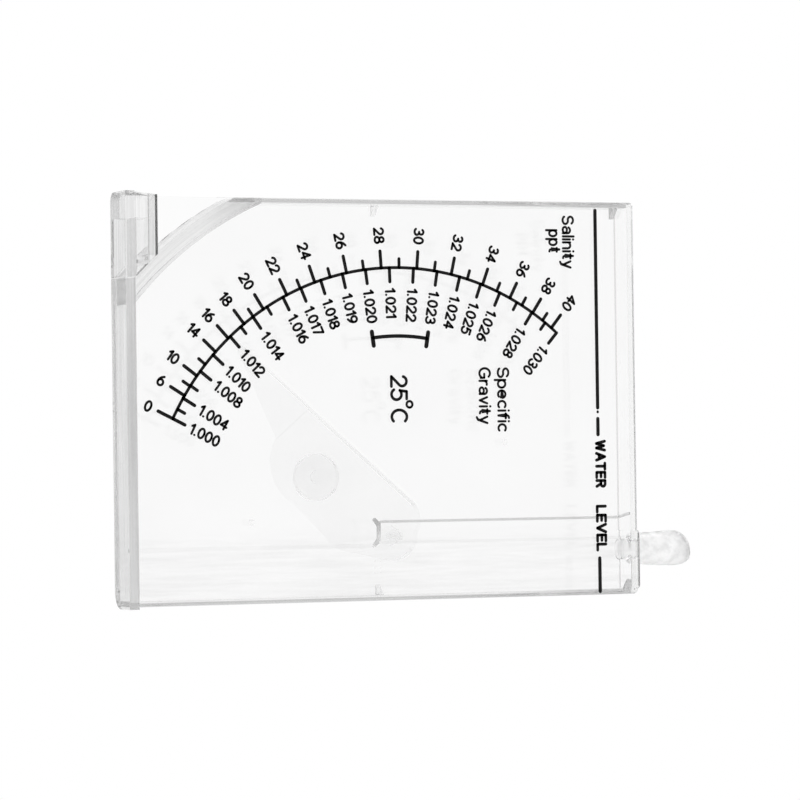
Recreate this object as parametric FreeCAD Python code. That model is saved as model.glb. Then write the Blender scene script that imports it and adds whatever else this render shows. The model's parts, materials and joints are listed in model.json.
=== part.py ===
import FreeCAD, Part
import math
import os
from FreeCAD import Vector

# Swing-arm hydrometer for aquarium water: a flat box of cemented clear sheets and blocks that stands
# on its foot, with a weighted arm that swings on a pin inside it and a push-in stopper on top.
# Millimetres. +Z is up, the printed face looks along -Y, and the origin is the centre of the foot's
# underside.

# ---- Driving dimensions --------------------------------------------------------------------------

# Pivot of the arm. The printed arc and the curved corner share this centre.
PIVOT_X = 41.1
PIVOT_Z = 85.6
CORNER_INNER_RADIUS = 107.5
CORNER_OUTER_RADIUS = 112.7

# Case
CASE_LEFT = -59.2
CASE_RIGHT = 60.2
CASE_TOP = 164.2
CASE_DEPTH = 13.0
PANEL_THICKNESS = 2.0
WALL_THICKNESS = 1.6
TOP_CORNER_RADIUS = 1.5
REAR_EDGE_CHAMFER = 0.8

# Foot and the heel block at its left end
FOOT_HALF_WIDTH = 60.9
FOOT_THICKNESS = 3.0
FOOT_RIGHT_REAR_RADIUS = 5.0
FOOT_LEFT_REAR_RADIUS = 3.0
HEEL_HEIGHT = 10.0
HEEL_DRAFT = 1.1
HEEL_POST_WIDTH = 7.9
HEEL_SLOT_BOTTOM = 3.4
HEEL_SLOT_TOP = 6.9

# Small ribs and gussets inside the side walls
GUSSET_SIZE = 3.0
GUSSET_THICKNESS = 1.6
SIDE_GUSSET_HEIGHT = PIVOT_Z - 4.2
GAUGE_RIB_OFFSETS = (7.7, 9.5, 11.0)
GAUGE_RIB_LENGTH = 1.8
GAUGE_RIB_WIDTH = 0.5
GAUGE_RIB_DEPTH = 0.4

# Filler cap and stopper, on the column between the channel and the right wall
FILLER_X = PIVOT_X + 5.5
FILLER_BORE_RADIUS = 3.25
CAP_LEFT = PIVOT_X - 0.2
CAP_FLANGE_HEIGHT = 1.0
CAP_FLANGE_OVERHANG = 1.5
CAP_CORNER_RADIUS = 1.4
STOPPER_RUNNING_GAP = 0.05
STOPPER_SEAT_GAP = 0.05
STOPPER_PLUG_LENGTH = 3.8
STOPPER_NECK_RADIUS = 4.6
STOPPER_HEAD_RADIUS = 5.5
STOPPER_HEAD_RISE = 14.0
STOPPER_DOME_RISE = 5.5
STOPPER_TIP_FLAT = 1.6

# Channel of thin walls behind the front panel, open at its back, and the thin rib that continues it
# down to the foot
CHANNEL_LEFT = PIVOT_X - 4.75
CHANNEL_RIGHT = PIVOT_X + 2.3
CHANNEL_BOTTOM = PIVOT_Z - 6.6
CHANNEL_DEPTH = 1.5
CHANNEL_WALL = 0.8
CHANNEL_CORNER_RADIUS = 1.2
FLARE_HEIGHT = 4.0
FLARE_WIDTH = 1.1
EAR_LENGTH = 2.0
EAR_WIDTH = 0.55
RIB_WIDTH = 1.2
RIB_OVERLAP = 0.2

# Pin and bearings
PIN_RADIUS = 0.75
PIN_RUNNING_GAP = 0.05
PIN_END_GAP = 0.2
FRONT_BEARING_RADIUS = 1.4
FRONT_BEARING_HEIGHT = 3.0
THRUST_FLANGE_RADIUS = 2.1
THRUST_FLANGE_THICKNESS = 0.4
REAR_BEARING_RADIUS = 3.0
REAR_BEARING_HEIGHT = 1.8
ARM_SIDE_GAP = 0.2

# Swing arm, described along its pointing direction and across it. Across is positive on the side
# that faces down at rest.
REST_ANGLE = 130.5
ARM_REACH = 75.6
TIP_HALF_WIDTH = 0.5
BLADE_THICKNESS = 1.8
BLADE_START = 46.0
BALLAST_ALONG = 29.5
BALLAST_ACROSS = 7.0
BALLAST_RADIUS = 7.0
BALLAST_THICKNESS = 2.2
BALLAST_RECESS_DEPTH = 2.4
BALLAST_DIMPLE_RADIUS = 2.0
BALLAST_DIMPLE_DEPTH = 0.6

# Stop pegs, at one distance from the pivot
STOP_REACH = 45.9
STOP_RADIUS = 1.0
LOW_STOP_ANGLE = 174.0
HIGH_STOP_ANGLE = 37.0

# ---- Levels worked out from the driving dimensions -----------------------------------------------

FRONT_FACE = -CASE_DEPTH / 2
REAR_FACE = CASE_DEPTH / 2
FRONT_INSIDE = FRONT_FACE + PANEL_THICKNESS
REAR_INSIDE = REAR_FACE - PANEL_THICKNESS
LEFT_INSIDE = CASE_LEFT + WALL_THICKNESS
RIGHT_INSIDE = CASE_RIGHT - WALL_THICKNESS
TOP_INSIDE = CASE_TOP - WALL_THICKNESS
CHANNEL_BACK = FRONT_INSIDE + CHANNEL_DEPTH
FRONT_BEARING_BACK = FRONT_INSIDE + FRONT_BEARING_HEIGHT
REAR_BEARING_FRONT = REAR_INSIDE - REAR_BEARING_HEIGHT
ARM_FRONT = FRONT_BEARING_BACK + THRUST_FLANGE_THICKNESS + ARM_SIDE_GAP
ARM_BACK = REAR_BEARING_FRONT - ARM_SIDE_GAP
CAP_TOP = CASE_TOP + CAP_FLANGE_HEIGHT
LEFT_WALL_BOTTOM = PIVOT_Z - math.sqrt(CORNER_INNER_RADIUS**2 - (PIVOT_X - LEFT_INSIDE)**2)

# ---- Helpers -------------------------------------------------------------------------------------


def block(x0, x1, y0, y1, z0, z1):
    """Box between two corners."""
    return Part.makeBox(x1 - x0, y1 - y0, z1 - z0, Vector(x0, y0, z0))


def rod_along_y(x, z, radius, y0, y1):
    """Cylinder with its axis along Y."""
    return Part.makeCylinder(radius, y1 - y0, Vector(x, y0, z), Vector(0, 1, 0))


def slab(edges, y0, y1):
    """Closed outline drawn in the XZ plane at y0, thickened to y1."""
    face = Part.Face(Part.Wire(edges))
    return face.extrude(Vector(0, y1 - y0, 0))


def polyline_edges(points):
    """Straight edges round a closed list of points."""
    following = points[1:] + points[:1]
    return [Part.LineSegment(a, b).toShape() for a, b in zip(points, following)]


def pivot_rod(radius, y0, y1):
    """Cylinder on the pivot's axis."""
    return rod_along_y(PIVOT_X, PIVOT_Z, radius, y0, y1)


def polar(reach, angle):
    """X and Z of a point at an angle from straight up, turning towards the left wall."""
    turn = math.radians(angle)
    return PIVOT_X - reach * math.sin(turn), PIVOT_Z + reach * math.cos(turn)


def edges_near(shape, test):
    """Edges whose ends both pass a test."""
    return [e for e in shape.Edges if all(test(v.Point) for v in e.Vertexes)]


def same(a, b):
    """Whether two lengths agree to a hundredth of a millimetre."""
    return abs(a - b) < 0.01


def upright_edge(shape, x):
    """The vertical edge of a shape's rear face at one side."""
    return edges_near(shape, lambda p: same(p.x, x) and same(p.y, REAR_FACE))


# ---- Case ----------------------------------------------------------------------------------------


def foot_outline(height):
    """The foot's plan, square at the front and rounded at the rear corners, raised to a height."""
    plan = block(-FOOT_HALF_WIDTH, FOOT_HALF_WIDTH, FRONT_FACE, REAR_FACE, 0, height)
    plan = plan.makeFillet(FOOT_RIGHT_REAR_RADIUS, upright_edge(plan, FOOT_HALF_WIDTH))
    return plan.makeFillet(FOOT_LEFT_REAR_RADIUS, upright_edge(plan, -FOOT_HALF_WIDTH))


def make_base_foot():
    """Foot plate with the slotted heel block that fills the corner below the curved wall."""
    plate = foot_outline(FOOT_THICKNESS)
    lean = HEEL_DRAFT * FOOT_THICKNESS / HEEL_HEIGHT
    side = [
        Vector(-FOOT_HALF_WIDTH + lean, FRONT_FACE, FOOT_THICKNESS),
        Vector(-FOOT_HALF_WIDTH + HEEL_DRAFT, FRONT_FACE, HEEL_HEIGHT),
        Vector(0, FRONT_FACE, HEEL_HEIGHT),
        Vector(0, FRONT_FACE, FOOT_THICKNESS),
    ]
    heel = foot_outline(HEEL_HEIGHT).common(slab(polyline_edges(side), FRONT_FACE, REAR_FACE))
    heel = heel.cut(pivot_rod(CORNER_OUTER_RADIUS, FRONT_FACE - 1, REAR_FACE + 1))
    slot_left = -FOOT_HALF_WIDTH + HEEL_POST_WIDTH
    slot = block(slot_left, 0, FRONT_FACE - 1, REAR_FACE + 1, HEEL_SLOT_BOTTOM, HEEL_SLOT_TOP)
    return plate.fuse(heel.cut(slot)).removeSplitter()


def panel_blank(y0, y1):
    """Sheet of the case's full width and height with softened top corners."""
    sheet = block(CASE_LEFT, CASE_RIGHT, y0, y1, FOOT_THICKNESS, CASE_TOP)

    def at_top_corner(point):
        return (same(point.x, CASE_LEFT) or same(point.x, CASE_RIGHT)) and same(point.z, CASE_TOP)

    corners = [e for e in edges_near(sheet, at_top_corner) if same(e.Length, y1 - y0)]
    return sheet.makeFillet(TOP_CORNER_RADIUS, corners)


def corner_cut(top, y0, y1):
    """The bottom left corner outside the curved wall, up to a height."""
    corner = block(CASE_LEFT - 1, PIVOT_X, y0 - 1, y1 + 1, FOOT_THICKNESS - 1, top)
    return corner.cut(pivot_rod(CORNER_OUTER_RADIUS, y0 - 2, y1 + 2))


def make_front_panel():
    """Printed front sheet. Its bottom left corner is a bare flap that stands on the heel."""
    sheet = panel_blank(FRONT_FACE, FRONT_INSIDE)
    return sheet.cut(corner_cut(HEEL_HEIGHT, FRONT_FACE, FRONT_INSIDE))


def make_back_panel():
    """Rear sheet, cut to the curved corner, with three short moulded ribs beside the pivot."""
    sheet = panel_blank(REAR_INSIDE, REAR_FACE)
    sheet = sheet.cut(corner_cut(PIVOT_Z, REAR_INSIDE, REAR_FACE))
    sheet = sheet.makeChamfer(REAR_EDGE_CHAMFER, upright_edge(sheet, CASE_RIGHT))
    ribs = []
    for offset in GAUGE_RIB_OFFSETS:
        centre = PIVOT_X + offset
        ribs.append(block(centre - GAUGE_RIB_WIDTH / 2, centre + GAUGE_RIB_WIDTH / 2,
                          REAR_INSIDE - GAUGE_RIB_DEPTH, REAR_INSIDE,
                          SIDE_GUSSET_HEIGHT, SIDE_GUSSET_HEIGHT + GAUGE_RIB_LENGTH))
    return sheet.fuse(ribs).removeSplitter()


def gusset(x, inward, z, panel):
    """Small triangular web in the angle between a side wall and the inner face of a panel."""
    tip = x + inward * GUSSET_SIZE
    away = panel - math.copysign(GUSSET_SIZE, panel)
    corners = [Vector(x, panel, z), Vector(tip, panel, z), Vector(x, away, z)]
    return Part.Face(Part.Wire(polyline_edges(corners))).extrude(Vector(0, 0, GUSSET_THICKNESS))


def make_side_wall(x0, x1, inside, inward, bottom, upper_panel):
    """Side strip between the panels, with one web at the pivot's height and one in the top corner."""
    wall = block(x0, x1, FRONT_INSIDE, REAR_INSIDE, bottom, TOP_INSIDE)
    upper = TOP_INSIDE - GUSSET_THICKNESS
    webs = [gusset(inside, inward, SIDE_GUSSET_HEIGHT, REAR_INSIDE),
            gusset(inside, inward, upper, upper_panel)]
    return wall.fuse(webs).removeSplitter()


def make_corner_block():
    """Thick curved wall across the bottom left corner, round the pivot's axis."""
    ring = pivot_rod(CORNER_OUTER_RADIUS, FRONT_INSIDE, REAR_INSIDE)
    ring = ring.cut(pivot_rod(CORNER_INNER_RADIUS, FRONT_INSIDE - 1, REAR_INSIDE + 1))
    corner = block(CASE_LEFT, PIVOT_X - CORNER_INNER_RADIUS / 2, FRONT_INSIDE, REAR_INSIDE,
                   FOOT_THICKNESS, LEFT_WALL_BOTTOM)
    return ring.common(corner)


def top_strip(x0, x1):
    """Length of the strip that lies on the side walls and closes the top between the panels."""
    strip = block(x0, x1, FRONT_INSIDE, REAR_INSIDE, TOP_INSIDE, CASE_TOP)
    return panel_blank(FRONT_INSIDE, REAR_INSIDE).common(strip)


def make_top_wall():
    """Strip that closes the case from the left side to the filler cap."""
    return top_strip(CASE_LEFT, CAP_LEFT)


def make_filler_cap():
    """Strip that closes the right end of the top, with a raised lip and the filling hole."""
    inner = top_strip(CAP_LEFT, CASE_RIGHT)
    lip = block(CAP_LEFT, RIGHT_INSIDE, FRONT_INSIDE - CAP_FLANGE_OVERHANG,
                REAR_INSIDE + CAP_FLANGE_OVERHANG, CASE_TOP, CAP_TOP)
    uprights = [e for e in lip.Edges if same(e.Length, CAP_FLANGE_HEIGHT)]
    lip = lip.makeFillet(CAP_CORNER_RADIUS, uprights)
    bore = Part.makeCylinder(FILLER_BORE_RADIUS, CAP_TOP, Vector(FILLER_X, 0, TOP_INSIDE - 1))
    return inner.fuse(lip).removeSplitter().cut(bore)


def make_stopper():
    """Soft push-in stopper: a plug, a neck that swells to a head, and a domed end."""
    plug_radius = FILLER_BORE_RADIUS - STOPPER_RUNNING_GAP
    seat = CAP_TOP + STOPPER_SEAT_GAP
    plug_end = seat - STOPPER_PLUG_LENGTH
    shoulder = seat + STOPPER_HEAD_RISE
    top = shoulder + STOPPER_DOME_RISE
    neck = Part.Arc(Vector(STOPPER_NECK_RADIUS, 0, seat),
                    Vector(STOPPER_HEAD_RADIUS - 0.25, 0, seat + STOPPER_HEAD_RISE / 2),
                    Vector(STOPPER_HEAD_RADIUS, 0, shoulder)).toShape()
    dome = Part.Arc(Vector(STOPPER_HEAD_RADIUS, 0, shoulder),
                    Vector(STOPPER_HEAD_RADIUS * 0.82, 0, shoulder + STOPPER_DOME_RISE * 0.65),
                    Vector(STOPPER_TIP_FLAT, 0, top)).toShape()
    corners = [Vector(STOPPER_TIP_FLAT, 0, top), Vector(0, 0, top),
               Vector(0, 0, plug_end), Vector(plug_radius, 0, plug_end),
               Vector(plug_radius, 0, seat), Vector(STOPPER_NECK_RADIUS, 0, seat)]
    straights = [Part.LineSegment(a, b).toShape() for a, b in zip(corners, corners[1:])]
    profile = Part.Face(Part.Wire(Part.__sortEdges__([neck, dome] + straights)))
    stopper = profile.revolve(Vector(0, 0, 0), Vector(0, 0, 1), 360)
    stopper.translate(Vector(FILLER_X, 0, 0))
    return stopper


# ---- Pivot ---------------------------------------------------------------------------------------


def channel_block(inset, y0, y1):
    """Solid of the channel's outline, moved inwards everywhere but at the top."""
    left = CHANNEL_LEFT + inset
    right = CHANNEL_RIGHT - inset
    bottom = CHANNEL_BOTTOM + inset
    outline = [
        Vector(left, y0, bottom),
        Vector(right, y0, bottom),
        Vector(right, y0, TOP_INSIDE),
        Vector(left - FLARE_WIDTH, y0, TOP_INSIDE),
        Vector(left, y0, TOP_INSIDE - FLARE_HEIGHT),
    ]
    return slab(polyline_edges(outline), y0, y1)


def make_pivot_channel():
    """U-shaped wall behind the front panel, round the pivot, flared where it meets the top."""
    wall = channel_block(0, FRONT_INSIDE, CHANNEL_BACK)
    lower = edges_near(wall, lambda p: same(p.z, CHANNEL_BOTTOM))
    wall = wall.makeFillet(CHANNEL_CORNER_RADIUS, [e for e in lower if same(e.Length, CHANNEL_DEPTH)])
    wall = wall.cut(channel_block(CHANNEL_WALL, FRONT_INSIDE - 1, CHANNEL_BACK + 1))
    return wall.fuse([ear(CHANNEL_LEFT, -1), ear(CHANNEL_RIGHT, 1)]).removeSplitter()


def ear(x, outward):
    """Short fin that slopes down and outwards from a lower corner of the channel."""
    inner = x - outward * CHANNEL_CORNER_RADIUS
    reach = EAR_LENGTH / math.sqrt(2)
    outer = inner + outward * reach
    low = CHANNEL_BOTTOM - reach
    corners = [
        Vector(inner - outward * EAR_WIDTH, FRONT_INSIDE, CHANNEL_BOTTOM + EAR_WIDTH),
        Vector(inner + outward * EAR_WIDTH, FRONT_INSIDE, CHANNEL_BOTTOM + EAR_WIDTH),
        Vector(outer + outward * EAR_WIDTH, FRONT_INSIDE, low + EAR_WIDTH),
        Vector(outer, FRONT_INSIDE, low),
        Vector(inner - outward * EAR_WIDTH, FRONT_INSIDE, CHANNEL_BOTTOM),
    ]
    return slab(polyline_edges(corners), FRONT_INSIDE, CHANNEL_BACK)


def make_divider_rib():
    """Thin rib that runs from the foot up to the channel's lower right corner."""
    top = CHANNEL_BOTTOM - EAR_LENGTH / math.sqrt(2)
    left = CHANNEL_RIGHT - RIB_OVERLAP
    return block(left, left + RIB_WIDTH, FRONT_INSIDE, CHANNEL_BACK, FOOT_THICKNESS, top)


def make_front_bearing():
    """Bush that stands on the front panel inside the channel, with a thrust flange towards the arm."""
    bush = pivot_rod(FRONT_BEARING_RADIUS, FRONT_INSIDE, FRONT_BEARING_BACK)
    flange = pivot_rod(THRUST_FLANGE_RADIUS, FRONT_BEARING_BACK,
                       FRONT_BEARING_BACK + THRUST_FLANGE_THICKNESS)
    bore = pivot_rod(PIN_RADIUS + PIN_RUNNING_GAP, FRONT_INSIDE - 1, ARM_FRONT)
    return bush.fuse(flange).removeSplitter().cut(bore)


def make_rear_bearing():
    """Round boss cemented on the back panel."""
    boss = pivot_rod(REAR_BEARING_RADIUS, REAR_BEARING_FRONT, REAR_INSIDE)
    return boss.cut(pivot_rod(PIN_RADIUS + PIN_RUNNING_GAP, REAR_BEARING_FRONT - 1, REAR_INSIDE + 1))


def make_pivot_pin():
    """Pin pressed through the arm's hub, with both ends in the bearings."""
    return pivot_rod(PIN_RADIUS, FRONT_INSIDE + PIN_END_GAP, REAR_INSIDE - PIN_END_GAP)


# ---- Swing arm -----------------------------------------------------------------------------------


def arm_point(along, across, y):
    """Point of the arm at rest, from its distances along and across the pointing direction."""
    turn = math.radians(REST_ANGLE)
    x = PIVOT_X - along * math.sin(turn) - across * math.cos(turn)
    z = PIVOT_Z + along * math.cos(turn) - across * math.sin(turn)
    return Vector(x, y, z)


def arm_edges(path, y):
    """Edges of an arm outline. A step is a corner, or an arc given as its middle and its end."""
    start = arm_point(*path[0], y)
    here = start
    edges = []
    for step in path[1:]:
        if len(step) == 2:
            there = arm_point(*step, y)
            edges.append(Part.LineSegment(here, there).toShape())
        else:
            there = arm_point(*step[2:], y)
            edges.append(Part.Arc(here, arm_point(*step[:2], y), there).toShape())
        here = there
    edges.append(Part.LineSegment(here, start).toShape())
    return edges


def make_swing_arm():
    """Wedge-shaped arm: a thin pointer blade, a lobe that holds the ballast, and a round hub."""
    body = [
        (BLADE_START, -4.9),
        (3.0, -11.4),
        (-1.6, -10.0, -4.4, -6.2),
        (-7.4, 0.0, -4.6, 5.8),
        (5.5, 13.4),
        (9.0, 15.5, 13.6, 15.9),
        (28.0, 17.0),
        (40.5, 15.6, BLADE_START, 9.0),
    ]
    blade = [
        (BLADE_START, -4.9),
        (BLADE_START, 9.0),
        (60.0, 5.0),
        (ARM_REACH, TIP_HALF_WIDTH),
        (ARM_REACH, -TIP_HALF_WIDTH),
    ]
    thick = slab(arm_edges(body, ARM_FRONT), ARM_FRONT, ARM_BACK)
    thin = slab(arm_edges(blade, ARM_FRONT), ARM_FRONT, ARM_FRONT + BLADE_THICKNESS)
    recess = ballast_rod(BALLAST_RADIUS, ARM_FRONT - 1, ARM_FRONT + BALLAST_RECESS_DEPTH)
    arm = thick.fuse(thin).removeSplitter().cut(recess)
    return arm.cut(pivot_rod(PIN_RADIUS, ARM_FRONT - 1, ARM_BACK + 1))


def ballast_rod(radius, y0, y1):
    """Cylinder on the ballast's axis."""
    centre = arm_point(BALLAST_ALONG, BALLAST_ACROSS, y0)
    return rod_along_y(centre.x, centre.z, radius, y0, y1)


def make_ballast_disc():
    """Disc pressed into the arm's lobe, with a small dimple in its face."""
    back = ARM_FRONT + BALLAST_RECESS_DEPTH
    front = back - BALLAST_THICKNESS
    disc = ballast_rod(BALLAST_RADIUS, front, back)
    return disc.cut(ballast_rod(BALLAST_DIMPLE_RADIUS, front - 1, front + BALLAST_DIMPLE_DEPTH))


def make_stop(angle):
    """Round peg that stands on the back panel in the arm's path."""
    x, z = polar(STOP_REACH, angle)
    return rod_along_y(x, z, STOP_RADIUS, ARM_FRONT - ARM_SIDE_GAP, REAR_INSIDE)


# ---- Build ---------------------------------------------------------------------------------------

NODES = {
    "base_foot": make_base_foot(),
    "front_panel": make_front_panel(),
    "back_panel": make_back_panel(),
    "left_wall": make_side_wall(CASE_LEFT, LEFT_INSIDE, LEFT_INSIDE, 1, LEFT_WALL_BOTTOM, REAR_INSIDE),
    "right_wall": make_side_wall(RIGHT_INSIDE, CASE_RIGHT, RIGHT_INSIDE, -1, FOOT_THICKNESS,
                                 FRONT_INSIDE),
    "corner_block": make_corner_block(),
    "top_wall": make_top_wall(),
    "filler_cap": make_filler_cap(),
    "stopper": make_stopper(),
    "pivot_channel": make_pivot_channel(),
    "divider_rib": make_divider_rib(),
    "front_bearing": make_front_bearing(),
    "rear_bearing": make_rear_bearing(),
    "pivot_pin": make_pivot_pin(),
    "swing_arm": make_swing_arm(),
    "ballast_disc": make_ballast_disc(),
    "low_stop": make_stop(LOW_STOP_ANGLE),
    "high_stop": make_stop(HIGH_STOP_ANGLE),
}

os.makedirs("parts", exist_ok=True)
for name, shape in NODES.items():
    shape.exportStep(os.path.join("parts", name + ".step"))
    box = shape.BoundBox
    print(f"{name:14s} valid {shape.isValid()} solids {len(shape.Solids)} volume {shape.Volume:9.1f} "
          f"x {box.XMin:7.2f} {box.XMax:7.2f} y {box.YMin:6.2f} {box.YMax:6.2f} "
          f"z {box.ZMin:7.2f} {box.ZMax:7.2f}")
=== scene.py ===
import json
import math

import bmesh
import bpy
from mathutils import Matrix, Vector, noise


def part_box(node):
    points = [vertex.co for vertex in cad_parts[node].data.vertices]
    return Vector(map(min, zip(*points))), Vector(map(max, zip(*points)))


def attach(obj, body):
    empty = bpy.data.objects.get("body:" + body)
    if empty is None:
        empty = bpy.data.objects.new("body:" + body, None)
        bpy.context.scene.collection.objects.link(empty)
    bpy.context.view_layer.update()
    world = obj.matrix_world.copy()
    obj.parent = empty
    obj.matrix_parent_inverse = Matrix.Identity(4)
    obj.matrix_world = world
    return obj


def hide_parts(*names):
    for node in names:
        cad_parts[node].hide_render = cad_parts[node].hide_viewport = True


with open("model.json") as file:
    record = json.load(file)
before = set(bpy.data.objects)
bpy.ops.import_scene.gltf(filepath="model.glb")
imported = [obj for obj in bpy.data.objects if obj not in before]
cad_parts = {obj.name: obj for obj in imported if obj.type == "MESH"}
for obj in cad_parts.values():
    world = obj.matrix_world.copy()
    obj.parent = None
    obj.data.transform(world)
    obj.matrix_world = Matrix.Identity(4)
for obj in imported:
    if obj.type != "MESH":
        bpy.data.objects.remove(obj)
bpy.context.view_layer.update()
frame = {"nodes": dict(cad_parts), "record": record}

# Swing-arm hydrometer: clear cemented case, black printed scale, frosted arm and a soft stopper.
# Metres. The printed face looks along -Y.

MM = 0.001
NODES = frame["nodes"]
RECORD = frame["record"]
ARM_JOINT = next(j for j in RECORD["behaviour"]["joints"] if j["name"] == "arm_swing")
PIVOT = Vector(ARM_JOINT["pos_m"])
FACE_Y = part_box("front_panel")[0][1]
# The rest are in millimetres
FRONT = FACE_Y / MM
HEEL_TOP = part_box("base_foot")[1][2] / MM
CAP_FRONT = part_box("filler_cap")[0][1] / MM
CHANNEL_END = PIVOT.z / MM - 6.25
CHANNEL_MIDDLE = PIVOT.x / MM - 1.2


# ---- Node helpers ----------------------------------------------------------------------------


class Shader:
    """Small builder for a node material."""

    def __init__(self, name):
        self.material = bpy.data.materials.new(name)
        self.material.use_nodes = True
        self.tree = self.material.node_tree
        self.tree.nodes.clear()
        self.output = self.add("ShaderNodeOutputMaterial")
        self.coords = self.add("ShaderNodeTexCoord").outputs["Object"]

    def add(self, kind, **values):
        node = self.tree.nodes.new(kind)
        for key, value in values.items():
            setattr(node, key, value)
        return node

    def link(self, a, b):
        self.tree.links.new(a, b)

    def noise(self, scale, detail=2.0, roughness=0.5, stretch=None):
        node = self.add("ShaderNodeTexNoise")
        node.inputs["Scale"].default_value = scale
        node.inputs["Detail"].default_value = detail
        node.inputs["Roughness"].default_value = roughness
        if stretch:
            mapping = self.add("ShaderNodeMapping")
            mapping.inputs["Scale"].default_value = stretch
            self.link(self.coords, mapping.inputs["Vector"])
            self.link(mapping.outputs[0], node.inputs["Vector"])
        else:
            self.link(self.coords, node.inputs["Vector"])
        return node.outputs["Fac"]

    def along(self, axis, low, high, out_low, out_high):
        """A number that changes along one axis of the piece, between two places in millimetres."""
        split = self.add("ShaderNodeSeparateXYZ")
        self.link(self.coords, split.inputs[0])
        return self.ramp(split.outputs[axis], low * MM, high * MM, out_low, out_high)

    def bands(self, axis, low, high, levels):
        """Greys that change along one axis, at fractions of the way between two places."""
        way = self.along(axis, low, high, 0.0, 1.0)
        return self.colours(way, [(at, grey(level)) for at, level in levels])

    def rings(self, scale, detail):
        """Noise that changes only with the distance from the pivot's axis."""
        offset = self.add("ShaderNodeVectorMath", operation="SUBTRACT")
        self.link(self.coords, offset.inputs[0])
        offset.inputs[1].default_value = PIVOT
        flat = self.add("ShaderNodeVectorMath", operation="MULTIPLY")
        self.link(offset.outputs[0], flat.inputs[0])
        flat.inputs[1].default_value = (1.0, 0.0, 1.0)
        reach = self.add("ShaderNodeVectorMath", operation="LENGTH")
        self.link(flat.outputs[0], reach.inputs[0])
        node = self.add("ShaderNodeTexNoise", noise_dimensions="1D")
        node.inputs["Scale"].default_value = scale
        node.inputs["Detail"].default_value = detail
        self.link(reach.outputs["Value"], node.inputs["W"])
        return node.outputs["Fac"]

    def times(self, colour, value):
        """A colour made darker by a number."""
        node = self.add("ShaderNodeVectorMath", operation="SCALE")
        self.link(colour, node.inputs[0])
        self.link(value, node.inputs["Scale"])
        return node.outputs[0]

    def ramp(self, value, low, high, out_low, out_high):
        node = self.add("ShaderNodeMapRange")
        self.link(value, node.inputs["Value"])
        limits = {"From Min": low, "From Max": high, "To Min": out_low, "To Max": out_high}
        for key, number in limits.items():
            node.inputs[key].default_value = number
        return node.outputs["Result"]

    def math(self, operation, a, b):
        node = self.add("ShaderNodeMath", operation=operation)
        for socket, value in zip(node.inputs, (a, b)):
            if isinstance(value, (int, float)):
                socket.default_value = value
            else:
                self.link(value, socket)
        return node.outputs[0]

    def colours(self, value, stops):
        node = self.add("ShaderNodeValToRGB")
        while len(node.color_ramp.elements) < len(stops):
            node.color_ramp.elements.new(0.5)
        for element, (at, colour) in zip(node.color_ramp.elements, stops):
            element.position = at
            element.color = (*colour, 1)
        self.link(value, node.inputs["Fac"])
        return node.outputs["Color"]

    def bump(self, height, strength, distance):
        node = self.add("ShaderNodeBump")
        node.inputs["Strength"].default_value = strength
        node.inputs["Distance"].default_value = distance
        self.link(height, node.inputs["Height"])
        return node.outputs["Normal"]

    def principled(self, **values):
        node = self.add("ShaderNodeBsdfPrincipled")
        for key, value in values.items():
            socket = node.inputs[key.replace("_", " ")]
            if hasattr(value, "links"):
                self.link(value, socket)
            else:
                socket.default_value = value
        return node

    def lamps_pass(self, shader, tint):
        """Lets lamp light through a clear surface, so that what it encloses is lit."""
        path = self.add("ShaderNodeLightPath")
        clear = self.add("ShaderNodeBsdfTransparent")
        clear.inputs["Color"].default_value = (*tint, 1)
        mix = self.add("ShaderNodeMixShader")
        self.link(path.outputs["Is Shadow Ray"], mix.inputs[0])
        self.link(shader, mix.inputs[1])
        self.link(clear.outputs[0], mix.inputs[2])
        return mix.outputs[0]

    def finish(self, shader):
        self.link(shader, self.output.inputs["Surface"])
        return self.material


def grey(level):
    return (level, level, level)


def clear_plastic(name, tint, roughness, ior, ripple, haze=0.0, shades=()):
    """Moulded clear plastic with faint ripples, handling smudges and hairline scratches.

    Each shade is a function that gives a number on the surface by which the tint is darkened:
    streaks in the plastic, or painted shade where the clear pieces' edges and ends show dark.
    """
    s = Shader(name)
    smudge = s.noise(38.0, 4.0, 0.6)
    hairs = s.noise(160.0, 3.0, 0.7, stretch=(1.0, 1.0, 0.06))
    rough = s.math(
        "ADD",
        s.ramp(smudge, 0.45, 0.75, roughness, roughness * 2.6 + 0.01),
        s.ramp(hairs, 0.66, 0.80, 0.0, 0.035 + haze),
    )
    colour = s.colours(smudge, [(0.35, tint), (0.8, tuple(c * 0.985 for c in tint))])
    for shade in shades:
        colour = s.times(colour, shade(s))
    waves = s.noise(55.0, 1.0, 0.4)
    normal = s.bump(s.math("ADD", waves, s.ramp(hairs, 0.66, 0.8, 0.0, 0.04)), 1.0, ripple)
    shader = s.principled(
        Base_Color=colour, Roughness=rough, IOR=ior, Transmission_Weight=1.0, Normal=normal
    )
    return s.finish(s.lamps_pass(shader.outputs[0], grey(0.93)))


def frosted(name, tint, roughness, transmission, ior, ripple=0.000001):
    """Translucent plastic with a fine satin grain."""
    s = Shader(name)
    grain = s.noise(900.0, 2.0, 0.6)
    cloud = s.noise(60.0, 3.0, 0.5)
    rough = s.ramp(cloud, 0.3, 0.7, roughness * 0.85, roughness * 1.15)
    colour = s.colours(cloud, [(0.3, tint), (0.75, tuple(c * 0.97 for c in tint))])
    shader = s.principled(
        Base_Color=colour, Roughness=rough, IOR=ior, Transmission_Weight=transmission,
        Normal=s.bump(grain, 0.35, ripple)
    )
    return s.finish(s.lamps_pass(shader.outputs[0], grey(0.9)))


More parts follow.
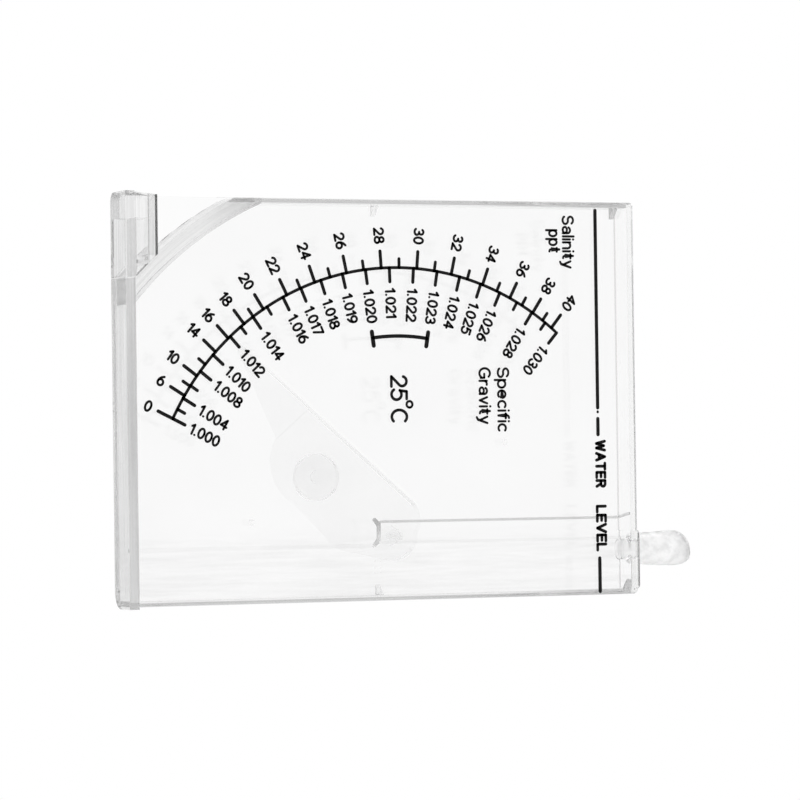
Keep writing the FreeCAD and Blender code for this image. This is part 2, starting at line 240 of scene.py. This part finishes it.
def ink():
    """Black screen-printed ink, slightly uneven and worn thin in specks."""
    s = Shader("printed_ink")
    specks = s.noise(700.0, 3.0, 0.6)
    cover = s.noise(90.0, 2.0, 0.5)
    colour = s.colours(specks, [(0.3, grey(0.004)), (0.72, grey(0.012)), (0.8, grey(0.03))])
    shader = s.principled(
        Base_Color=colour, Roughness=s.ramp(cover, 0.3, 0.7, 0.5, 0.7), IOR=1.2,
        Normal=s.bump(specks, 0.3, 0.00001)
    )
    return s.finish(shader.outputs[0])


def silicone(name, ior, transmission, depth, darkest):
    """Cloudy silicone with soft mottles inside and a smooth skin."""
    s = Shader(name)
    lumps = s.noise(420.0, 3.0, 0.55)
    grain = s.noise(1300.0, 2.0, 0.5)
    both = s.math("ADD", s.math("MULTIPLY", lumps, 0.85), s.math("MULTIPLY", grain, 0.15))
    middle = (darkest + 1.0) / 2
    colour = s.colours(both, [(0.38, grey(darkest)), (0.5, grey(middle)), (0.6, grey(0.98))])
    shader = s.principled(
        Base_Color=colour, Roughness=s.ramp(lumps, 0.3, 0.7, 0.3, 0.42), IOR=ior,
        Transmission_Weight=transmission, Normal=s.bump(both, 0.6, depth)
    )
    return s.finish(s.lamps_pass(shader.outputs[0], grey(0.8)))


# ---- Looks of the pieces ---------------------------------------------------------------------


def streaks(scale, stretch, low, high):
    """Grey streaks in one direction."""
    return lambda s: s.ramp(s.noise(scale, 3.0, 0.6, stretch=stretch), 0.36, 0.64, low, high)


def column_streaks(s):
    """Faint upright streaks in the panels beside the filling column, and none elsewhere."""
    streak = s.ramp(s.noise(420.0, 3.0, 0.6, stretch=(1.0, 1.0, 0.07)), 0.47, 0.68, 0.0, 0.07)
    column = s.along("X", PIVOT.x / MM - 3.0, PIVOT.x / MM + 4.0, 0.0, 1.0)
    return s.math("SUBTRACT", 1.0, s.math("MULTIPLY", streak, column))


ACRYLIC = 1.49
# Height on the foot's front edge as a share of the heel's, and the grey of the painted shade there:
# dark bands part way up the heel and at its top, where edges behind show dark
FOOT_PAINTED_SHADE = [(0.0, 1.0), (0.695, 1.0), (0.705, 0.5), (0.73, 0.5), (0.745, 1.0), (0.91, 1.0),
               (0.93, 0.03)]

PANEL = clear_plastic("clear_panel_look", grey(0.995), roughness=0.004, ior=ACRYLIC,
                      ripple=0.000004, shades=[column_streaks])
WALL = clear_plastic("clear_wall_look", grey(0.985), roughness=0.015, ior=ACRYLIC,
                     ripple=0.00001, haze=0.03)
SIDE = clear_plastic(
    "clear_side_wall_look", grey(0.945), roughness=0.02, ior=ACRYLIC, ripple=0.00001, haze=0.03,
    # Painted shade: the side walls darken towards their top ends, where their edges show dark
    shades=[lambda s: s.along("Z", 118.0, 152.0, 1.0, 0.66)],
)
FOOT = clear_plastic(
    "clear_foot_look", grey(0.95), roughness=0.015, ior=ACRYLIC, ripple=0.00002, haze=0.02,
    shades=[streaks(1300.0, (0.015, 1.0, 1.0), 0.82, 1.02),
            # Painted shade: the foot's front face, below the heel's window, is darkened
            lambda s: s.math("MAXIMUM", s.along("Y", FRONT + 0.02, FRONT + 0.3, 0.84, 1.0),
                             s.along("Z", 3.1, 3.4, 0.0, 1.0)),
            # Painted shade: dark bands across the front face, part way up the heel and at its top
            lambda s: s.math("MAXIMUM", s.bands("Z", 0.0, HEEL_TOP, FOOT_PAINTED_SHADE),
                             s.along("Y", FRONT + 0.4, FRONT + 1.0, 0.0, 1.0))],
)
CAP = clear_plastic(
    "clear_cap_look", grey(0.985), roughness=0.015, ior=1.2, ripple=0.00001, haze=0.02,
    # Painted shade: the lip's front face is darkened to a dark line
    shades=[lambda s: s.along("Y", CAP_FRONT + 0.1, CAP_FRONT + 0.3, 0.3, 1.0)],
)
CORNER = clear_plastic(
    "clear_corner_look", grey(0.93), roughness=0.03, ior=ACRYLIC, ripple=0.00006, haze=0.05,
    shades=[lambda s: s.ramp(s.rings(1100.0, 3.0), 0.36, 0.64, 0.84, 1.0),
            # Painted shade: the corner block darkens towards its top
            lambda s: s.along("Z", 26.0, 42.0, 1.0, 0.72)],
)
RIB = clear_plastic(
    "clear_rib_look", grey(0.97), roughness=0.04, ior=1.3, ripple=0.00001,
    # Painted shade: the channel's left side and the part below its end are darkened
    shades=[lambda s: s.along("X", CHANNEL_MIDDLE - 1.0, CHANNEL_MIDDLE + 1.0, 0.70, 0.98),
            lambda s: s.along("Z", CHANNEL_END, CHANNEL_END + 0.3, 0.72, 1.0)],
)
BAR = clear_plastic("clear_bar_look", grey(0.98), roughness=0.012, ior=1.4, ripple=0.00001)
BOSS = clear_plastic("clear_boss_look", grey(0.98), roughness=0.03, ior=1.04, ripple=0.000004)
BUSH = frosted("bearing_plastic_look", grey(0.985), roughness=0.1, transmission=1.0, ior=1.03)
PIN = frosted("pin_plastic_look", grey(0.98), roughness=0.1, transmission=1.0, ior=1.03)
ARM = frosted("arm_plastic_look", grey(0.975), roughness=0.22, transmission=1.0, ior=1.045)
BALLAST = frosted("ballast_plastic_look", grey(0.96), roughness=0.22, transmission=0.985, ior=1.05)
SILICONE = silicone("stopper_silicone_look", ior=1.34, transmission=0.88, depth=0.00005,
                    darkest=0.74)
PLUG = silicone("stopper_plug_look", ior=1.05, transmission=0.99, depth=0.00001, darkest=0.93)
INK = ink()

# Each CAD node's look, and the width of its rounded edges in millimetres
LOOKS = {
    "front_panel": (PANEL, 0.12), "back_panel": (PANEL, 0.12),
    "left_wall": (SIDE, 0.12), "right_wall": (SIDE, 0.12), "top_wall": (WALL, 0.15),
    "base_foot": (FOOT, 0.2), "corner_block": (CORNER, 0.2), "filler_cap": (CAP, 0.2),
    "pivot_channel": (RIB, 0.12), "divider_rib": (BAR, 0.15),
    "rear_bearing": (BOSS, 0.25), "low_stop": (BOSS, 0.2), "high_stop": (BOSS, 0.2),
    "front_bearing": (BUSH, 0.08), "pivot_pin": (PIN, 0.12),
    "swing_arm": (ARM, 0.5), "ballast_disc": (BALLAST, 0.25),
}


CEMENT_GAP = 0.012 * MM


def dress(name, look, edge):
    """Gives a CAD node its material, soft moulded edges, and a hair of cement gap all round."""
    o = NODES[name]
    mesh = o.data
    custom = mesh.attributes.get("custom_normal")
    if custom:
        mesh.attributes.remove(custom)
    mesh.polygons.foreach_set("use_smooth", [True] * len(mesh.polygons))
    for slot in o.material_slots:
        slot.material = look
    weld = o.modifiers.new("weld", "WELD")
    weld.merge_threshold = 1e-6
    bevel = o.modifiers.new("moulded_edges", "BEVEL")
    bevel.width = edge * MM
    bevel.segments = 3
    bevel.limit_method = "ANGLE"
    bevel.angle_limit = math.radians(35)
    bevel.harden_normals = True
    bevel.use_clamp_overlap = True
    gap = o.modifiers.new("cement_gap", "DISPLACE")
    gap.direction = "NORMAL"
    gap.mid_level = 0.0
    gap.strength = -CEMENT_GAP


for node_name, (look, edge) in LOOKS.items():
    dress(node_name, look, edge)


# ---- Print: a stroke font and ruled lines ----------------------------------------------------


def arc(cx, cy, rx, ry, start, end, step=15.0):
    """Points of an elliptical arc, angles in degrees."""
    count = max(2, round(abs(end - start) / step))
    turns = [math.radians(start + (end - start) * i / count) for i in range(count + 1)]
    return [(cx + rx * math.cos(t), cy + ry * math.sin(t)) for t in turns]


# Each glyph is its width and its strokes, for a capital of height 1.
GLYPHS = {
    "0": (0.54, [arc(0.27, 0.5, 0.27, 0.5, 0, 360)]),
    "1": (0.22, [[(0.0, 0.78), (0.22, 1.0)], [(0.22, 1.0), (0.22, 0.0)]]),
    "2": (0.54, [arc(0.27, 0.71, 0.27, 0.29, 165, -35) + [(0.0, 0.0)], [(0.0, 0.0), (0.56, 0.0)]]),
    "3": (0.54, [arc(0.25, 0.755, 0.23, 0.245, 150, -90), arc(0.25, 0.26, 0.29, 0.26, 90, -150)]),
    "4": (0.58, [[(0.42, 0.0), (0.42, 1.0)], [(0.42, 1.0), (0.0, 0.3)], [(0.0, 0.3), (0.6, 0.3)]]),
    "5": (0.54, [[(0.5, 1.0), (0.08, 1.0)], [(0.08, 1.0), (0.03, 0.55)],
                 arc(0.24, 0.33, 0.3, 0.33, 138, -150)]),
    "6": (0.54, [arc(0.27, 0.31, 0.27, 0.31, 0, 360),
                 [(0.0, 0.34), (0.03, 0.56), (0.15, 0.8), (0.38, 1.0)]]),
    "7": (0.54, [[(0.0, 1.0), (0.54, 1.0)], [(0.54, 1.0), (0.18, 0.0)]]),
    "8": (0.54, [arc(0.27, 0.76, 0.22, 0.24, 0, 360), arc(0.27, 0.26, 0.28, 0.26, 0, 360)]),
    "9": (0.54, [arc(0.27, 0.69, 0.27, 0.31, 0, 360),
                 [(0.54, 0.66), (0.51, 0.44), (0.39, 0.2), (0.16, 0.0)]]),
    ".": (0.12, [[(0.05, 0.02), (0.07, 0.02)]]),
    "S": (0.56, [arc(0.28, 0.745, 0.26, 0.255, 25, 262) + arc(0.28, 0.26, 0.28, 0.26, 80, -155)]),
    "a": (0.48, [arc(0.24, 0.46, 0.22, 0.24, 155, 0) + [(0.46, 0.0)],
                 arc(0.22, 0.2, 0.22, 0.2, 0, 360)]),
    "l": (0.0, [[(0.0, 1.04), (0.0, 0.0)]]),
    "i": (0.0, [[(0.0, 0.68), (0.0, 0.0)], [(0.0, 0.98), (0.0, 1.0)]]),
    "n": (0.44, [[(0.0, 0.7), (0.0, 0.0)], arc(0.22, 0.45, 0.22, 0.25, 180, 0) + [(0.44, 0.0)]]),
    "t": (0.3, [[(0.12, 0.95), (0.12, 0.16)] + arc(0.28, 0.16, 0.16, 0.16, 180, 270),
                [(0.0, 0.7), (0.3, 0.7)]]),
    "y": (0.46, [[(0.0, 0.7), (0.23, 0.04)], [(0.46, 0.7), (0.2, -0.2), (0.04, -0.3)]]),
    "p": (0.48, [[(0.0, 0.7), (0.0, -0.3)], arc(0.25, 0.35, 0.24, 0.35, 0, 360)]),
    "e": (0.48, [[(0.0, 0.37), (0.48, 0.37)] + arc(0.24, 0.35, 0.24, 0.35, 15, 310)]),
    "c": (0.42, [arc(0.24, 0.35, 0.24, 0.35, 50, 310)]),
    "f": (0.3, [[(0.12, 0.0), (0.12, 0.84)] + arc(0.28, 0.84, 0.16, 0.17, 180, 90),
                [(0.0, 0.7), (0.3, 0.7)]]),
    "G": (0.68, [arc(0.36, 0.5, 0.36, 0.5, 48, 325), [(0.4, 0.46), (0.68, 0.46)],
                 [(0.68, 0.46), (0.68, 0.12)]]),
    "r": (0.26, [[(0.0, 0.7), (0.0, 0.0)], arc(0.24, 0.42, 0.24, 0.27, 180, 80)]),
    "v": (0.44, [[(0.0, 0.7), (0.22, 0.0)], [(0.22, 0.0), (0.44, 0.7)]]),
    "C": (0.62, [arc(0.36, 0.5, 0.36, 0.5, 50, 310)]),
    "W": (0.84, [[(0.0, 1.0), (0.21, 0.0)], [(0.21, 0.0), (0.42, 0.9)], [(0.42, 0.9), (0.63, 0.0)],
                 [(0.63, 0.0), (0.84, 1.0)]]),
    "A": (0.64, [[(0.0, 0.0), (0.32, 1.0)], [(0.32, 1.0), (0.64, 0.0)],
                 [(0.12, 0.32), (0.52, 0.32)]]),
    "T": (0.56, [[(0.0, 1.0), (0.56, 1.0)], [(0.28, 1.0), (0.28, 0.0)]]),
    "E": (0.48, [[(0.48, 1.0), (0.0, 1.0)], [(0.0, 1.0), (0.0, 0.0)], [(0.0, 0.0), (0.48, 0.0)],
                 [(0.0, 0.52), (0.42, 0.52)]]),
    "R": (0.54, [[(0.0, 0.0), (0.0, 1.0)],
                 [(0.0, 1.0)] + arc(0.3, 0.75, 0.24, 0.25, 90, -90) + [(0.0, 0.5)],
                 [(0.3, 0.5), (0.54, 0.0)]]),
    "L": (0.46, [[(0.0, 1.0), (0.0, 0.0)], [(0.0, 0.0), (0.46, 0.0)]]),
    "V": (0.6, [[(0.0, 1.0), (0.3, 0.0)], [(0.3, 0.0), (0.6, 1.0)]]),
}


SPACE = 0.5
POINT_WIDTH = 0.95


class Print:
    """Ink strokes, in millimetres across and up from the pivot, that become one mesh."""

    def __init__(self):
        self.strokes = []

    def stroke(self, points, width):
        self.strokes.append((points, width))

    def ray(self, angle, r0, r1, width):
        self.stroke([polar(r0, angle), polar(r1, angle)], width)

    def text(self, text, start, direction, height, width, gap, squeeze=1.0):
        """Text from the left end of its baseline, along a direction."""
        core = height - width
        up = (-direction[1], direction[0])
        at = width / 2
        for letter in text:
            if letter == " ":
                at += core * SPACE * squeeze
                continue
            advance, strokes = GLYPHS[letter]
            for points in strokes:
                placed = []
                for gx, gy in points:
                    along = at + gx * core * squeeze
                    rise = width / 2 + gy * core
                    placed.append((start[0] + along * direction[0] + rise * up[0],
                                   start[1] + along * direction[1] + rise * up[1]))
                self.stroke(placed, width * (POINT_WIDTH if letter == "." else 1.0))
            at += (advance * squeeze + gap) * core

    def build(self, name, thickness=0.03, sink=0.006):
        """Makes the mesh, which stands proud of the panel and sinks a hair into it."""
        bm = bmesh.new()
        for points, width in self.strokes:
            outline = ribbon([Vector((x, z)) for x, z in points], width / 2)
            front, back = [], []
            for p in outline:
                x, z = PIVOT.x + p.x * MM, PIVOT.z + p.y * MM
                front.append(bm.verts.new((x, FACE_Y - thickness * MM, z)))
                back.append(bm.verts.new((x, FACE_Y + sink * MM, z)))
            bm.faces.new(front)
            bm.faces.new(list(reversed(back)))
            count = len(outline)
            for i in range(count):
                j = (i + 1) % count
                bm.faces.new((front[j], front[i], back[i], back[j]))
        bmesh.ops.recalc_face_normals(bm, faces=bm.faces)
        bmesh.ops.triangulate(bm, faces=[f for f in bm.faces if len(f.verts) > 4])
        mesh = bpy.data.meshes.new(name)
        bm.to_mesh(mesh)
        bm.free()
        mesh.materials.append(INK)
        o = bpy.data.objects.new(name, mesh)
        bpy.context.scene.collection.objects.link(o)
        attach(o, "case")


def ribbon(points, half):
    """Outline of a stroke with round ends, anticlockwise."""
    closed = len(points) > 3 and (points[0] - points[-1]).length < 1e-6
    if closed:  # a ring is drawn as a stroke whose ends overlap a little
        points = points + [points[1]]
    tangents = []
    for i, p in enumerate(points):
        a = points[max(i - 1, 0)]
        b = points[min(i + 1, len(points) - 1)]
        tangents.append((b - a).normalized())
    if closed:
        tangents[0] = (points[1] - points[-3]).normalized()
    left, right = [], []
    for i, (p, t) in enumerate(zip(points, tangents)):
        side = Vector((-t.y, t.x))
        if 0 < i < len(points) - 1:
            segment = (points[i + 1] - p).normalized()
            cosine = max(0.5, side.dot(Vector((-segment.y, segment.x))))
        else:
            cosine = 1.0
        left.append(p + side * half / cosine)
        right.append(p - side * half / cosine)
    caps = []
    for p, t in ((points[-1], tangents[-1]), (points[0], -tangents[0])):
        side = Vector((t.y, -t.x))
        cap = []
        for k in range(1, 6):
            turn = math.pi * k / 6
            cap.append(p + (side * math.cos(turn) + t * math.sin(turn)) * half)
        caps.append(cap)
    return right + caps[0] + list(reversed(left)) + caps[1]


def polar(r, angle):
    """Point at a reach in millimetres and an angle from straight up towards the left."""
    t = math.radians(angle)
    return (-r * math.sin(t), r * math.cos(t))


def sweep(r, start, turn, count):
    """Points on a circle about the pivot, from an angle and down by a turn."""
    return [polar(r, start - turn * i / count) for i in range(count + 1)]


def text_length(text, height, width, gap, squeeze=1.0):
    core = height - width
    total = width
    for letter in text:
        if letter == " ":
            total += core * SPACE * squeeze
        else:
            total += (GLYPHS[letter][0] * squeeze + gap) * core
    return total - gap * core


# Millimetres, but for angles in degrees
ARC_RADIUS = 80.0
TICK = 1.06
SHORT_TICK = TICK * 0.95
LINE = 1.15
# Letter height, stroke width, and gap and widening as shares of a letter
DIGITS = (3.6, 0.74, 0.27, 1.12)
WORD = (4.2, 0.72, 0.26)
DEGREES = (5.8, 0.9, 0.24)
CAPITALS = (3.75, 0.95, 0.34)
# The arm's angle follows an arctangent of how far the reading is from the middle one
MIDDLE_ANGLE = 89.0
MIDDLE_POINTS = 21.5
SPREAD_POINTS = 10.2
POINTS_PER_PPT = 0.738


def reading_angle(points):
    """Where the arm's tip points for thousandths of specific gravity above 1."""
    return MIDDLE_ANGLE + math.degrees(math.atan((MIDDLE_POINTS - points) / SPREAD_POINTS))


def ppt_angle(ppt):
    return reading_angle(ppt * POINTS_PER_PPT)


def print_ticks(name, long_angles, short_angles, long_end, short_end):
    """Ticks from the arc to an end that is a share of its radius."""
    sheet = Print()
    for angle in long_angles:
        sheet.ray(angle, ARC_RADIUS, ARC_RADIUS * long_end, TICK)
    for angle in short_angles:
        sheet.ray(angle, ARC_RADIUS, ARC_RADIUS * short_end, SHORT_TICK)
    sheet.build(name)


def print_numbers(name, labels):
    """Numbers that run towards the pivot: each label is a text, its angle and where it starts."""
    sheet = Print()
    rise = DIGITS[0] / 2
    for text, angle, reach in labels:
        t = math.radians(angle)
        across, up = math.sin(t), math.cos(t)
        start = (-across * reach - up * rise, up * reach - across * rise)
        sheet.text(text, start, (across, -up), *DIGITS)
    sheet.build(name)


def word(sheet, text, left, right, foot, style):
    """Upright word whose ink fills left to right above foot, in shares of the arc's radius."""
    height, width, gap = style
    x0, x1 = left * ARC_RADIUS, right * ARC_RADIUS
    natural = text_length(text, height, width, gap)
    core = height - width
    fixed = width + gap * core * (len(text) - 1 - 2 * text.count(" "))
    squeeze = (x1 - x0 - fixed) / (natural - fixed)
    sheet.text(text, (x0, foot * ARC_RADIUS), (1.0, 0.0), height, width, gap, squeeze)


arc_print = Print()
arc_print.stroke(sweep(ARC_RADIUS, 153.3, 103.6, 90), 0.95)
arc_print.build("print_arc")

LONG_PPT = (0, 6, 10, 14, 16, 18, 20, 22, 24, 26, 28, 30, 32, 34, 36, 38, 40)
SHORT_PPT = (8, 12, 19, 23, 25, 27, 29, 31, 33, 35, 37, 39)
print_ticks("print_salinity_ticks", [ppt_angle(p) for p in LONG_PPT],
            [ppt_angle(p) for p in SHORT_PPT], 1.063, 1.033)
print_numbers("print_salinity_numbers", [
    (str(p), ppt_angle(p), ARC_RADIUS * 1.090 + text_length(str(p), *DIGITS)) for p in LONG_PPT
])

LONG_POINTS = (0, 4, 8, 10, 12, 14, 16, 17, 18, 19, 20, 21, 22, 23, 24, 25, 26, 28, 30)
SHORT_POINTS = (2, 6, 13, 15, 27, 29)
print_ticks("print_gravity_ticks", [reading_angle(p) for p in LONG_POINTS],
            [reading_angle(p) for p in SHORT_POINTS], 0.948, 0.968)
print_numbers("print_gravity_numbers", [
    ("1.%03d" % p, reading_angle(p), ARC_RADIUS * 0.925) for p in LONG_POINTS
])

bracket = Print()
bracket.stroke(sweep(ARC_RADIUS * 0.745, 97.7, 16.7, 20), 1.1)
for end in (97.9, 80.8):
    bracket.ray(end, ARC_RADIUS * 0.768, ARC_RADIUS * 0.716, 1.35)
bracket.build("print_range_bracket")

words = Print()
for text, left, right, foot in (
    ("Salinity", -1.203, -1.0, 0.681), ("ppt", -1.15, -1.06, 0.624),
    ("Specific", -0.628, -0.383, 0.402), ("Gravity", -0.628, -0.413, 0.326),
):
    word(words, text, left, right, foot, WORD)
words.build("print_words")

temperature = Print()
word(temperature, "25", -0.60, -0.502, -0.035, DEGREES)
word(temperature, "C", -0.475, -0.42, -0.035, DEGREES)
degree_ring = arc(0, 0, 0.95, 0.95, 0, 360, 18)
temperature.stroke(
    [(-0.49 * ARC_RADIUS + x, 0.043 * ARC_RADIUS + z) for x, z in degree_ring], 0.75
)
temperature.build("print_temperature")

level = Print()
LEVEL_Z = 0.822 * ARC_RADIUS
for left, right, width in (
    (-1.222, -0.472, LINE), (-0.457, -0.455, 0.8), (-0.43, -0.37, LINE), (0.10, 0.226, LINE),
):
    level.stroke([(left * ARC_RADIUS, LEVEL_Z), (right * ARC_RADIUS, LEVEL_Z)], width)
word(level, "WATER", -0.35, -0.167, 0.808, CAPITALS)
word(level, "LEVEL", -0.103, 0.075, 0.808, CAPITALS)
level.build("print_water_level")


# ---- Stopper ---------------------------------------------------------------------------------


SEAT_GAP = 0.05 * MM
PLUG_RADIUS = 3.2 * MM
NECK_RADIUS = 4.6 * MM
HEAD_RISE_MM = 14.0
SKIN_MARGIN = 0.12 * MM  # room for the skin's lumps inside the CAD piece's width
SMOOTH_COLLAR = 0.8 * MM
DOME_LEAN = 1.9 * MM
LONGEST_EDGE = 0.9 * MM
AROUND = 96


def turned(profile, centre, bottom):
    """Solid of revolution on an upright axis, from heights above its bottom and radii."""
    bm = bmesh.new()
    rings = []
    for h, r in profile:
        if r < 1e-7:
            rings.append([bm.verts.new((centre.x, centre.y, bottom + h))])
            continue
        ring = []
        for k in range(AROUND):
            a = 2 * math.pi * k / AROUND
            place = (centre.x + r * math.cos(a), centre.y + r * math.sin(a), bottom + h)
            ring.append(bm.verts.new(place))
        rings.append(ring)
    for a, b in zip(rings, rings[1:]):
        for k in range(AROUND):
            j = (k + 1) % AROUND
            if len(a) == 1:
                bm.faces.new((a[0], b[j], b[k]))
            elif len(b) == 1:
                bm.faces.new((a[k], a[j], b[0]))
            else:
                bm.faces.new((a[k], a[j], b[j], b[k]))
    bmesh.ops.recalc_face_normals(bm, faces=bm.faces)
    return bm


def make_stopper():
    """Moulded stopper: round plug, swelling neck and a dome that leans to one side."""
    low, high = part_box("stopper")
    centre = Vector(((low[0] + high[0]) / 2, (low[1] + high[1]) / 2))
    cap_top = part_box("filler_cap")[1][2]
    bottom, top = low[2], high[2]
    radius = (high[0] - low[0]) / 2
    seat = cap_top + SEAT_GAP
    plug = PLUG_RADIUS
    # Height above the plug's end, then radius
    profile = [(0.0, 0.0), (0.0, plug * 0.55), (0.0, plug * 0.9), (0.25 * MM, plug * 0.99)]
    profile += [(seat - bottom - d * MM, plug) for d in (4.6, 3.6, 2.6, 1.6, 0.8, 0.06)]
    neck = NECK_RADIUS
    profile += [(seat - bottom, plug * 1.05), (seat - bottom, neck * 0.93),
                (seat - bottom + 0.25 * MM, neck)]
    shoulder = seat - bottom + HEAD_RISE_MM * MM
    for i in range(1, 13):
        f = i / 12
        profile.append((seat - bottom + (HEAD_RISE_MM * f) * MM + 0.1 * MM * (1 - f),
                        neck + (radius - SKIN_MARGIN - neck) * math.sin(f * math.pi / 2)))
    rise = top - bottom - shoulder
    for i in range(1, 17):
        t = math.pi / 2 * i / 16
        profile.append((shoulder + rise * math.sin(t), (radius - SKIN_MARGIN) * math.cos(t) ** 0.8))
    bm = turned(profile, centre, bottom)
    long_edges = [e for e in bm.edges if e.calc_length() > LONGEST_EDGE]
    bmesh.ops.subdivide_edges(bm, edges=long_edges, cuts=1, use_grid_fill=True)
    bm.normal_update()
    base = bottom + shoulder
    for v in bm.verts:
        above = (v.co.z - (seat + SMOOTH_COLLAR)) / MM
        if above <= 0:
            continue
        fade = min(1.0, above / 2.0)
        p = v.co * 1000.0
        lump = noise.fractal(p * 0.9, 1.0, 2.0, 4) * 0.05 + noise.noise(p * 2.6) * 0.04
        v.co += v.normal * (lump - 0.03) * fade * MM
        if v.co.z > base:  # the dome's top leans to the right
            f = (v.co.z - base) / rise
            v.co.x += f * f * DOME_LEAN * (1 - 0.55 * abs(v.co.x - centre.x) / radius)
    for v in bm.verts:
        v.co.x = min(max(v.co.x, low[0]), high[0])
        v.co.y = min(max(v.co.y, low[1]), high[1])
        v.co.z = min(v.co.z, high[2])
    mesh = bpy.data.meshes.new("soft_stopper")
    bm.to_mesh(mesh)
    bm.free()
    mesh.polygons.foreach_set("use_smooth", [True] * len(mesh.polygons))
    mesh.materials.append(SILICONE)
    mesh.materials.append(PLUG)
    for face in mesh.polygons:
        face.material_index = 1 if face.center.z < seat - 0.1 * MM else 0
    o = bpy.data.objects.new("soft_stopper", mesh)
    bpy.context.scene.collection.objects.link(o)
    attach(o, "stopper")
    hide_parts("stopper")


make_stopper()


# ---- Stage -----------------------------------------------------------------------------------


FLOOR_HALF = 12.0
FLOOR_DROP = 0.2 * MM
# The backdrop's direction, and the room's brightness from opposite it (0) to straight at it (1)
BACKDROP = Vector((0.0, 0.92, 0.39)).normalized()
ROOM_LEVELS = [(0.0, 0.80), (0.30, 0.70), (0.60, 0.60), (0.82, 0.72), (0.93, 1.0)]
LAMP_TARGET = Vector((0, 0, 0.08))
CAMERA_AT = (0.018815, -1.142736, -0.401241)
CAMERA_RIGHT = Vector((0.01344772, -0.39388031, 0.91906336))
CAMERA_UP = Vector((-0.99980086, -0.01885055, 0.00655034))
CAMERA_BACK = Vector((0.01474479, -0.91896842, -0.39405537))


def make_floor():
    """Pale floor that shows from above only, because the camera looks up from under its level."""
    bm = bmesh.new()
    bmesh.ops.create_grid(bm, x_segments=1, y_segments=1, size=FLOOR_HALF)
    mesh = bpy.data.meshes.new("floor")
    bm.to_mesh(mesh)
    bm.free()
    floor = bpy.data.objects.new("floor", mesh)
    floor.location = (0, 0, -FLOOR_DROP)
    bpy.context.scene.collection.objects.link(floor)
    s = Shader("pale_floor")
    side = s.add("ShaderNodeNewGeometry").outputs["Backfacing"]
    top = s.principled(Base_Color=(0.86, 0.86, 0.86, 1), Roughness=0.7)
    under = s.add("ShaderNodeBsdfTransparent")
    mix = s.add("ShaderNodeMixShader")
    s.link(side, mix.inputs[0])
    s.link(top.outputs[0], mix.inputs[1])
    s.link(under.outputs[0], mix.inputs[2])
    mesh.materials.append(s.finish(mix.outputs[0]))


def make_world():
    """White surroundings, with a dimmer room for what the plastic reflects and bends."""
    world = bpy.data.worlds.new("studio")
    bpy.context.scene.world = world
    world.use_nodes = True
    tree = world.node_tree
    tree.nodes.clear()
    out = tree.nodes.new("ShaderNodeOutputWorld")
    plain = tree.nodes.new("ShaderNodeBackground")
    plain.inputs["Color"].default_value = (1, 1, 1, 1)
    plain.inputs["Strength"].default_value = 1.0
    room = tree.nodes.new("ShaderNodeBackground")
    room.inputs["Strength"].default_value = 1.0
    coords = tree.nodes.new("ShaderNodeTexCoord")
    dot = tree.nodes.new("ShaderNodeVectorMath")
    dot.operation = "DOT_PRODUCT"
    dot.inputs[1].default_value = BACKDROP
    tree.links.new(coords.outputs["Generated"], dot.inputs[0])
    ramp = tree.nodes.new("ShaderNodeValToRGB")
    shift = tree.nodes.new("ShaderNodeMapRange")
    shift.inputs["From Min"].default_value = -1.0
    shift.inputs["From Max"].default_value = 1.0
    tree.links.new(dot.outputs["Value"], shift.inputs["Value"])
    tree.links.new(shift.outputs["Result"], ramp.inputs["Fac"])
    while len(ramp.color_ramp.elements) < len(ROOM_LEVELS):
        ramp.color_ramp.elements.new(0.5)
    for element, (at, brightness) in zip(ramp.color_ramp.elements, ROOM_LEVELS):
        element.position = at
        element.color = (*grey(brightness), 1)
    tree.links.new(ramp.outputs["Color"], room.inputs["Color"])
    path = tree.nodes.new("ShaderNodeLightPath")
    bends = tree.nodes.new("ShaderNodeMath")
    bends.operation = "MAXIMUM"
    tree.links.new(path.outputs["Is Glossy Ray"], bends.inputs[0])
    tree.links.new(path.outputs["Is Transmission Ray"], bends.inputs[1])
    mix = tree.nodes.new("ShaderNodeMixShader")
    tree.links.new(bends.outputs[0], mix.inputs[0])
    tree.links.new(plain.outputs[0], mix.inputs[1])
    tree.links.new(room.outputs[0], mix.inputs[2])
    tree.links.new(mix.outputs[0], out.inputs["Surface"])


def make_lamp(name, location, size, power):
    data = bpy.data.lights.new(name, "AREA")
    data.shape = "DISK"
    data.size = size
    data.energy = power
    lamp = bpy.data.objects.new(name, data)
    lamp.location = location
    lamp.rotation_mode = "QUATERNION"
    lamp.rotation_quaternion = (LAMP_TARGET - Vector(location)).to_track_quat("-Z", "Y")
    bpy.context.scene.collection.objects.link(lamp)


def make_camera():
    data = bpy.data.cameras.new("camera")
    data.lens = 186.69
    data.sensor_width = 36.0
    data.clip_start = 0.05
    data.clip_end = 100.0
    camera = bpy.data.objects.new("camera", data)
    turn = Matrix((CAMERA_RIGHT, CAMERA_UP, CAMERA_BACK)).transposed().to_4x4()
    camera.matrix_world = Matrix.Translation(CAMERA_AT) @ turn
    bpy.context.scene.collection.objects.link(camera)
    bpy.context.scene.camera = camera


make_floor()
make_world()
make_lamp("soft_key", (-0.5, -0.7, 0.9), size=0.5, power=1.6)
make_lamp("soft_fill", (0.7, 0.5, 0.8), size=0.7, power=0.6)
make_camera()
bpy.context.scene.view_settings.view_transform = "Standard"
cycles = bpy.context.scene.cycles
cycles.max_bounces = 96
cycles.transmission_bounces = 96
cycles.glossy_bounces = 96
